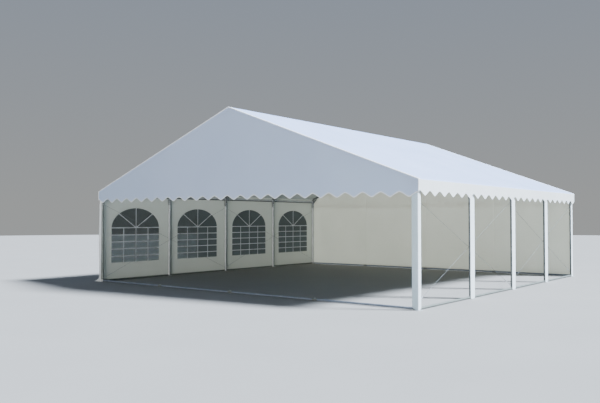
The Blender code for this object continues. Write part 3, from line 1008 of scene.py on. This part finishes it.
# --- Rear wall ----------------------------------------------------------------------------------
# One plain sheet of coated polyester from the roof to the ground, welded from 2 m widths. It
# hangs in soft upright folds, and a hem runs along its foot.
wall_foot = 0.002
wall_skin = 0.0015
rear_half = 3.9957
rear_columns = 160
rear_rows = 40
wall_shades = ("E2E3D9", "D9DBD0")
wall_glow = "D8DDD4"


def fold_depth(place, seed):
    """How far a hanging sheet swells outwards at one place along it."""
    broad = 0.5 + 0.5 * noise.noise(Vector((place * 0.9, seed, 0.0)))
    fine = 0.5 + 0.5 * noise.noise(Vector((place * 3.3, seed + 4.0, 0.0)))
    return 0.007 * broad + 0.005 * fine


def rear_point(x, share, lift=0.0):
    """Place on the rear wall's outer face, at a share of its height."""
    z = wall_foot + (gable_top(min(abs(x), rear_half)) - wall_foot) * share
    held = math.sin(math.pi * min(max(share, 0.0), 1.0)) ** 0.5
    edge = min((rear_half - abs(x)) / 0.15, 1.0)
    swell = fold_depth(x + 0.15 * math.sin(z * 1.3), 3.0) * held * edge
    swell += 0.002 * noise.noise(Vector((x * 2.0, z * 2.2, 6.0))) * held * edge
    return Vector((x, half_length - wall_skin + max(swell, 0.0) + lift, z))


def seam_lift(place):
    """Thickness that a welded lap adds at one place along a sheet of 2 m widths."""
    return 0.0012 if abs(place - round(place / 2) * 2) < 0.0112 and abs(place) < 3 else 0.0


wall_cloth = cloth_material("coated_wall_polyester", wall_shades, wall_glow, roughness=0.52)
seam_edges = [seam_x + edge for seam_x in bay_lines for edge in (-0.014, -0.011, 0.011, 0.014)]
xs = sorted(spread_out(rear_half, -rear_half, rear_columns) + seam_edges, reverse=True)
rows = [[rear_point(x, step / rear_rows, seam_lift(x)) for x in xs] for step in range(rear_rows + 1)]
rear_sheet = cloth_piece("rear_wall_sheet", rows, "xz", wall_cloth)
hem_rows = [[rear_point(x, share, lift) for x in xs]
            for share, lift in ((0.0, 0.0008), (0.018, 0.0008), (0.0195, 0.0001))]
rear_hem = settle(cloth_piece("rear_wall_hem", hem_rows, "xz", wall_cloth, 0.0032), "wall_fabric")
settle(rear_sheet, "wall_fabric", "rear_wall")

# --- Window wall ----------------------------------------------------------------------------------
# Four panels of wall cloth, each zipped to the next over a leg. The zip lies just beside the leg
# and is dark, partly a zip and partly painted shade for the leg's shaded side. A round-headed window of
# clear film is welded in, with glazing bars of white tape welded across it.
window_half = 0.705
window_sill = 0.402
window_spring = 1.206
window_rise = 0.467
window_middle = 1.0
panel_shares = (0.0, 0.03, 0.08, 0.18, 0.32, 0.48, 0.66, 0.84, 0.95, 1.0)
film_shares = (0.001, 0.1, 0.25, 0.4, 0.55, 0.7, 0.82, 0.92, 1.0)
film_lap = 0.02
film_skin = 0.0004
film_gap = 0.0002
bar_width = 0.019
bar_thickness = 0.0012
bar_columns = (-0.36, 0.0, 0.36)
bar_rows = (1.206, 1.04, 0.88, 0.717, 0.55)
zip_shift = 0.088
zip_half = 0.011
zip_low = 0.03
zip_high = 1.96
zip_thickness = 0.0008
flap_thickness = 0.0012
flap_section = ((0.122, 0.0), (0.119, -0.0016), (-0.019, -0.0016), (-0.022, 0.0))
band_low = 1.915
band_high = 1.95
side_cool_tint_colours = ("E2E8E1", "D9E0D9")
film_tint = "DCE8EA"
film_shadow = "8A8F8E"
zip_and_shade_colours = ("697073", "7C8386")
shade_band_colours = ("3A4044", "4B5256")


def film_material():
    """Clear flexible vinyl: see-through, faintly blue, with a haze that blurs its shine."""
    made, tree, shader, place = blank_material("clear_vinyl_film", Roughness=0.12, IOR=1.53)
    relief = bump(tree, clouding(tree, place, 3.0), 0.4, 0.006)
    feed(tree, shader, {"Base Color": colour(film_tint), "Normal": relief})
    clear = node_out(tree, "ShaderNodeBsdfTransparent", {"Color": colour(film_shadow)})
    edge = node_out(tree, "ShaderNodeFresnel", {"IOR": 1.45, "Normal": relief})
    show(tree, remap(tree, edge, 0.0, 1.0, 0.05, 0.8), clear, shader.outputs[0])
    return made


def zip_material(name, shades):
    """Woven polyester tape with moulded teeth, 6 mm from tooth to tooth here so that they show."""
    made, tree, shader, place = blank_material(name, Roughness=0.6)
    teeth = node_out(tree, "ShaderNodeTexWave", {"Vector": place, "Scale": thread_scale}, "Fac",
                     bands_direction="Z")
    feed(tree, shader, {"Base Color": blend(tree, teeth, *shades),
                        "Normal": bump(tree, teeth, 0.6, 0.0008)})
    return made


def window_reach(turn, margin):
    """Distance from the window's middle to its outline, grown by a margin, in one direction."""
    across, up = math.cos(turn), math.sin(turn)
    half, rise = window_half + margin, window_rise + margin
    found = []
    if up < -1e-9:
        found.append((window_sill - margin - window_middle) / up)
    if abs(across) > 1e-9 and window_middle + half / abs(across) * up <= window_spring:
        found.append(half / abs(across))
    square = (across / half) ** 2 + (up / rise) ** 2
    linear = (window_middle - window_spring) * up / rise ** 2
    rest = ((window_middle - window_spring) / rise) ** 2 - 1
    arch = (-linear + math.sqrt(linear ** 2 - square * rest)) / square
    if window_middle + arch * up >= window_spring:
        found.append(arch)
    return min(found)


def panel_reach(turn, front, rear):
    """Distance from the window's middle to the panel's edge in one direction."""
    across, up = math.cos(turn), math.sin(turn)
    found = []
    if abs(across) > 1e-9:
        found.append((rear if across > 0 else -front) / abs(across))
    if abs(up) > 1e-9:
        found.append(((fold_height - window_middle) if up > 0 else (window_middle - wall_foot)) / abs(up))
    return min(found)


def wall_swell(y, z):
    """How far the window wall swells outwards; it is held at the legs, the rail and the ground."""
    step = min(max(int((y + half_length) // 2), 0), 3)
    share = min(max((y + half_length) / 2 - step, 0.0), 1.0)
    rise = min(max((z - wall_foot) / 2.0, 0.0), 1.0)
    held = math.sin(math.pi * share) ** 0.7 * math.sin(math.pi * rise) ** 0.6
    swell = 0.006 + 0.006 * noise.noise(Vector((y * 1.9, z * 0.8, 11.0 + step)))
    return max(swell, 0.001) * held


def hung_on_wall(piece):
    """Swell a piece of the flat window wall outwards."""
    for corner in piece.data.vertices:
        corner.co.x -= wall_swell(corner.co.y, corner.co.z)
    piece.data.update()
    return piece


def upright_strip(name, x, y, section, material, thickness):
    """A strip up the window wall: section gives (y, x) offsets from one edge to the other."""
    strip_rows = [[Vector((x + lift, y + edge, z)) for edge, lift in section]
                  for z in spread_out(zip_low, zip_high, 30)]
    return settle(hung_on_wall(cloth_piece(name, strip_rows, "yz", material, thickness)), "wall_fabric")


def make_bar_tree():
    """Flat tape along every edge of the base mesh."""
    tree, given = new_geometry_tree("glazing_bar", Width="Float", Thickness="Float")
    line = node_out(tree, "GeometryNodeMeshToCurve", {"Mesh": given["Geometry"]})
    dense = node_out(tree, "GeometryNodeResampleCurve", {"Curve": line, "Length": 0.03}, mode="LENGTH")
    facing = node_out(tree, "GeometryNodeSetCurveNormal", {"Curve": dense, "Normal": (1.0, 0.0, 0.0)},
                      mode="FREE")
    section = node_out(tree, "GeometryNodeCurvePrimitiveQuadrilateral", {
        "Width": given["Thickness"], "Height": given["Width"]})
    return close_tree(tree, given, sweep(tree, facing, section))


def bar_lines(x, middle):
    """Lines of one window's glazing bars: uprights, level bars and two slanting ones."""
    crown = window_spring + window_rise
    lines = [((x, middle + y, window_sill), (x, middle + y, window_spring if y else crown))
             for y in bar_columns]
    lines += [((x, middle - window_half, z), (x, middle + window_half, z)) for z in bar_rows]
    eighth = math.sqrt(0.5)
    return lines + [((x, middle, window_spring),
                     (x, middle + hand * window_half * eighth, window_spring + window_rise * eighth))
                    for hand in (-1, 1)]


# The window wall takes a bluer copy of the rear wall's cloth, tinted as painted cool light.
side_cloth = cloth_material("coated_side_polyester", side_cool_tint_colours, wall_glow, roughness=0.52)
clear_film = film_material()
bar_tape = tape_material("glazing_bar_tape", 0.5)
bar_tree = make_bar_tree()
zip_and_shade_tape = zip_material("zip_and_shade_tape", zip_and_shade_colours)
shade_gap_band = zip_material("painted_shade_band", shade_band_colours)
wall_x = -half_length + wall_skin
film_x = wall_x + cloth_thickness + film_gap
frame_x = film_x + film_skin + film_gap
for bay in range(4):
    number = bay + 1
    node_low, node_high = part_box("side_wall_%d" % number)
    middle = -3.0 + 2.0 * bay
    front, rear = node_low.y - middle, node_high.y - middle
    turns = {2 * math.pi * step / 120 for step in range(120)}
    for y, z in ((front, wall_foot), (rear, wall_foot), (front, fold_height), (rear, fold_height),
                 (-window_half, window_sill), (window_half, window_sill)):
        turns.add(math.atan2(z - window_middle, y) % (2 * math.pi))
    turns = sorted(turns)

    def wall_rings(name, layers, material, thickness=cloth_thickness):
        """A hung sheet from closed rows round the window's middle, each of (reaches, x)."""
        rings = [[Vector((x, middle + math.cos(turn) * reach, window_middle + math.sin(turn) * reach))
                  for turn, reach in zip(turns, reaches)] for reaches, x in layers]
        sheet = cloth_piece("%s_%d" % (name, number), rings, "yz", material, thickness, closed=True)
        return hung_on_wall(sheet)

    inner = [window_reach(turn, 0.0) for turn in turns]
    outer = [panel_reach(turn, front, rear) for turn in turns]
    panel_rings = [([near + (far - near) * share for near, far in zip(inner, outer)], wall_x)
                   for share in panel_shares]
    panel = wall_rings("side_wall_sheet", panel_rings, side_cloth)
    film_edge = [window_reach(turn, film_lap) for turn in turns]
    film_rings = [([reach * share for reach in film_edge], film_x) for share in film_shares]
    film = wall_rings("window_film_sheet", film_rings, clear_film, film_skin)
    weld_section = ((film_lap + 0.004, frame_x - 0.0004), (film_lap + 0.003, frame_x + 0.0006),
                    (-0.006, frame_x + 0.0006), (-0.007, frame_x - 0.0002))
    weld_rings = [([window_reach(turn, margin) for turn in turns], x) for margin, x in weld_section]
    weld = wall_rings("window_weld", weld_rings, side_cloth, 0.0006)
    lines = bar_lines(film_x + film_skin + bar_thickness / 2, middle)
    lines += bar_lines(film_x - bar_thickness / 2, middle)
    bars = hung_on_wall(grow("window_bars_%d" % number, edge_mesh(lines), bar_tree,
                             {"Width": bar_width, "Thickness": bar_thickness, "Material": bar_tape}))
    trims = [settle(piece, "wall_fabric") for piece in (weld, bars)]
    if bay:
        joint_y = middle - 1.0
        # The dark zip lies 88 mm from the joint, just beside the leg: partly a zip, partly painted shade
        # for the leg's shaded side.
        teeth = [(-zip_half, 0.0), (-zip_half * 0.4, 0.0004), (-zip_half * 0.3, 0.0022),
                 (zip_half * 0.3, 0.0022), (zip_half * 0.4, 0.0004), (zip_half, 0.0)]
        trims.append(upright_strip("wall_zip_%d" % bay, frame_x, joint_y + zip_shift, teeth, zip_and_shade_tape,
                                   zip_thickness))
        trims.append(upright_strip("wall_flap_%d" % bay, -half_length + flap_thickness, joint_y,
                                   flap_section, side_cloth, flap_thickness))
    # A dark band along the wall's top, under the eave rail, is painted shade for the shadow gap between the
    # rail and the wall.
    band_ys = spread_out(middle + front + 0.01, middle + rear - 0.01, 40)
    band_rows = [[Vector((film_x + film_gap, y, z)) for y in band_ys] for z in (band_low, band_high)]
    band = hung_on_wall(cloth_piece("wall_band_%d" % number, band_rows, "yz", shade_gap_band, 0.0015))
    trims.append(settle(band, "wall_fabric"))
    settle(panel, "wall_fabric", "side_wall_%d" % number)
    settle(film, "clear_film", "window_film_%d" % number)

# --- Leg covers ------------------------------------------------------------------------------------
# Strips of wall cloth hung from the eave over the outsides of the legs that no wall hides.
# The corner strip is folded round its leg, and its front face takes a darker, bluer copy of the
# cloth as painted shade. The front left one spreads on the ground and is painted whiter as painted light.
cover_foot = 0.003
cover_head = 1.98
cover_rows = 60
strip_front = -0.06
strip_width = 0.198
rear_strip_front = 3.886
rear_strip_width = 0.113
corner_start = 3.888
corner_fold = 0.016
corner_side = 0.09
strip_shades = ("E9F1F3", "E1E9ED")
corner_front_shade_colours = ("BED4E3", "B7CDDE")
strip_cloth = cloth_material("coated_strip_polyester", strip_shades, wall_glow, 0.3)
# The front left strip takes a whiter cloth that lets more light through, as painted light.
painted_light_strip_cloth = cloth_material("painted_light_strip_polyester", (tape_white, strip_shades[0]), rear_glow, 0.4)
corner_front_shade_cloth = cloth_material("corner_front_painted_shade_polyester", corner_front_shade_colours, wall_glow, 0.3)


def strip_piece(place, outline_at, cloth, front_shade_cloth=None):
    """A hanging strip: outline_at gives its plan at a share of its height, as a list of
    (x, y, lift), where lift is how far the hem is drawn up."""
    rows = []
    flat = []
    for share in spread_out(0.0, 1.0, cover_rows):
        z = cover_foot + (cover_head - cover_foot) * share
        rows.append([Vector((x, y, z + lift * (1 - share))) for x, y, lift in outline_at(share)])
        run = [0.0]
        for before, after in zip(rows[-1], rows[-1][1:]):
            run.append(run[-1] + (after - before).length)
        flat.append([(reach, z) for reach in run])
    strip = cloth_piece("leg_strip_" + place, rows, flat, cloth)
    # Faces that look to the front take the darker copy of the cloth as painted shade.
    if front_shade_cloth:
        strip.data.materials.append(front_shade_cloth)
        for face in strip.data.polygons:
            face.material_index = 1 if face.normal.y < -0.7 else 0
    settle(strip, "wall_fabric", "leg_cover_" + place)


def sway(share, pace, seed):
    """How far a strip has drifted sideways at a share of its height."""
    return 0.004 * noise.noise(Vector((share * pace, seed, 0.0))) * (1 - share)


for number in (2, 3, 4):
    leg_y = bent_places[number - 1]

    def side_plan(share, leg_y=leg_y, number=number):
        """Plan of a side strip, flat in front and bent in at its rear edge."""
        crown = 0.006 * math.sin(math.pi * share) ** 0.6
        plan = []
        for step in range(13):
            place = step / 12
            y = leg_y + strip_front + strip_width * place + sway(share, 2.2, number * 3.0)
            bend = crown * math.sin(math.pi * place) - 0.012 * max(place - 0.86, 0.0) / 0.14
            plan.append((half_length - wall_skin + bend, y, 0.012 * (2 * place - 1) ** 4))
        return plan

    strip_piece("right_%d" % number, side_plan, strip_cloth)


def rear_right_plan(share):
    """Plan of the strip at the rear right corner."""
    drift = sway(share, 2.0, 15.0)
    return [(half_length - wall_skin + 0.004 * math.sin(math.pi * step / 8) * math.sin(math.pi * share),
             rear_strip_front + rear_strip_width * step / 8 + drift, 0.0) for step in range(9)]


def front_right_plan(share):
    """Plan of the corner strip, folded round the leg with a soft corner."""
    crown = 0.005 * math.sin(math.pi * share) ** 0.6
    plan = []
    for step in range(9):
        place = step / 8
        plan.append((corner_start + (half_length - corner_fold - corner_start) * place,
                     -half_length + wall_skin - crown * math.sin(math.pi * place),
                     0.041 * (1 - place) ** 1.6))
    for step in range(1, 7):
        turn = math.pi / 2 * step / 6
        plan.append((half_length - wall_skin - corner_fold + corner_fold * math.sin(turn),
                     -half_length + wall_skin + corner_fold - corner_fold * math.cos(turn), 0.0))
    for step in range(1, 7):
        place = step / 6
        plan.append((half_length - wall_skin + crown * math.sin(math.pi * place),
                     -half_length + corner_fold + (corner_side - corner_fold) * place, 0.022 * place ** 2))
    return plan


def front_left_plan(share):
    """Plan of the front left strip; its foot spreads outwards over the ground."""
    low = max(1 - share / 0.045, 0.0)
    out = 0.03 * min(max((0.935 - share) / 0.05, 0.0), 1.0)
    bulge = 0.02 * math.exp(-((share - 0.46) / 0.2) ** 2)
    left = -half_length - 0.012 - out - bulge - 0.13 * low ** 1.8
    right = -3.942 - out
    plan = []
    for step in range(9):
        crown = 0.006 * math.sin(math.pi * step / 8) * math.sin(math.pi * min(share * 1.1, 1.0))
        plan.append((left + (right - left) * step / 8,
                     -half_length + wall_skin - crown - 0.03 * low * (1 - step / 8), 0.0))
    return plan


strip_piece("rear_right", rear_right_plan, strip_cloth)
strip_piece("front_right", front_right_plan, strip_cloth, corner_front_shade_cloth)
strip_piece("front_left", front_left_plan, painted_light_strip_cloth)

# --- Floor, light and camera ---------------------------------------------------------------------
# A plain pale floor and soft light: a broad sun from the right and behind, a weak fill from the
# front and a pale sky.
floor_radius = 50.0
floor_sides = 96
floor_shades = ("878581", "8E8C88")
sky_low = "E3E6E6"
sky_high = "B6CCEC"
sky_strength = 0.46
sun_turn = (math.radians(46), 0, math.radians(118))
sun_energy = 25.0
sun_width = math.radians(12)
sun_cool = "E2EEFF"
fill_place = (9.1, -28.6, 0.4)
fill_size = (16.0, 0.6)
fill_aim = (0.0, 0.0, 2.4)
fill_energy = 480.0
fill_spread = math.radians(40)
fill_warm = "FAF4EA"
camera_place = (8.976, -13.376, 1.401)
camera_turn = (math.radians(91.51), 0, math.radians(37.811))
camera_lens = 40.79
camera_sensor = 36.0
camera_reach = 300.0


def stand(name, data):
    """Put a light or the camera into the scene."""
    made = bpy.data.objects.new(name, data)
    bpy.context.scene.collection.objects.link(made)
    return made


floor_mesh = bpy.data.meshes.new("floor")
floor_turns = [2 * math.pi * step / floor_sides for step in range(floor_sides)]
floor_edge = [(floor_radius * math.cos(turn), floor_radius * math.sin(turn), 0) for turn in floor_turns]
floor_mesh.from_pydata(floor_edge, [], [tuple(range(floor_sides))])
floor_material, tree, shader, place = blank_material("pale_floor", Roughness=0.9)
feed(tree, shader, {"Base Color": blend(tree, clouding(tree, place, 0.6), *floor_shades)})
floor_mesh.materials.append(floor_material)
floor = link_piece("floor", floor_mesh)

world = bpy.data.worlds.new("pale_sky")
world.use_nodes = True
sky = world.node_tree
sky_place = node_out(sky, "ShaderNodeTexCoord", output="Generated")
sky_height = node_out(sky, "ShaderNodeSeparateXYZ", {0: sky_place}, "Z")
sky_colour = blend(sky, remap(sky, sky_height, 0.02, 0.55), sky_low, sky_high)
feed(sky, sky.nodes["Background"], {"Color": sky_colour, "Strength": sky_strength})
bpy.context.scene.world = world

sun_data = bpy.data.lights.new("broad_sun", "SUN")
sun_data.energy = sun_energy
sun_data.angle = sun_width
sun_data.color = colour(sun_cool)[:3]
stand("broad_sun", sun_data).rotation_euler = sun_turn

fill_data = bpy.data.lights.new("front_fill", "AREA")
fill_data.shape = "RECTANGLE"
fill_data.size, fill_data.size_y = fill_size
fill_data.energy = fill_energy
fill_data.spread = fill_spread
fill_data.color = colour(fill_warm)[:3]
fill = stand("front_fill", fill_data)
fill.location = fill_place
fill.rotation_euler = (Vector(fill_place) - Vector(fill_aim)).to_track_quat("Z", "Y").to_euler()
fill.visible_camera = False

camera_data = bpy.data.cameras.new("camera")
camera_data.sensor_width = camera_sensor
camera_data.lens = camera_lens
camera_data.clip_end = camera_reach
camera = stand("camera", camera_data)
camera.location = camera_place
camera.rotation_euler = camera_turn
bpy.context.scene.camera = camera
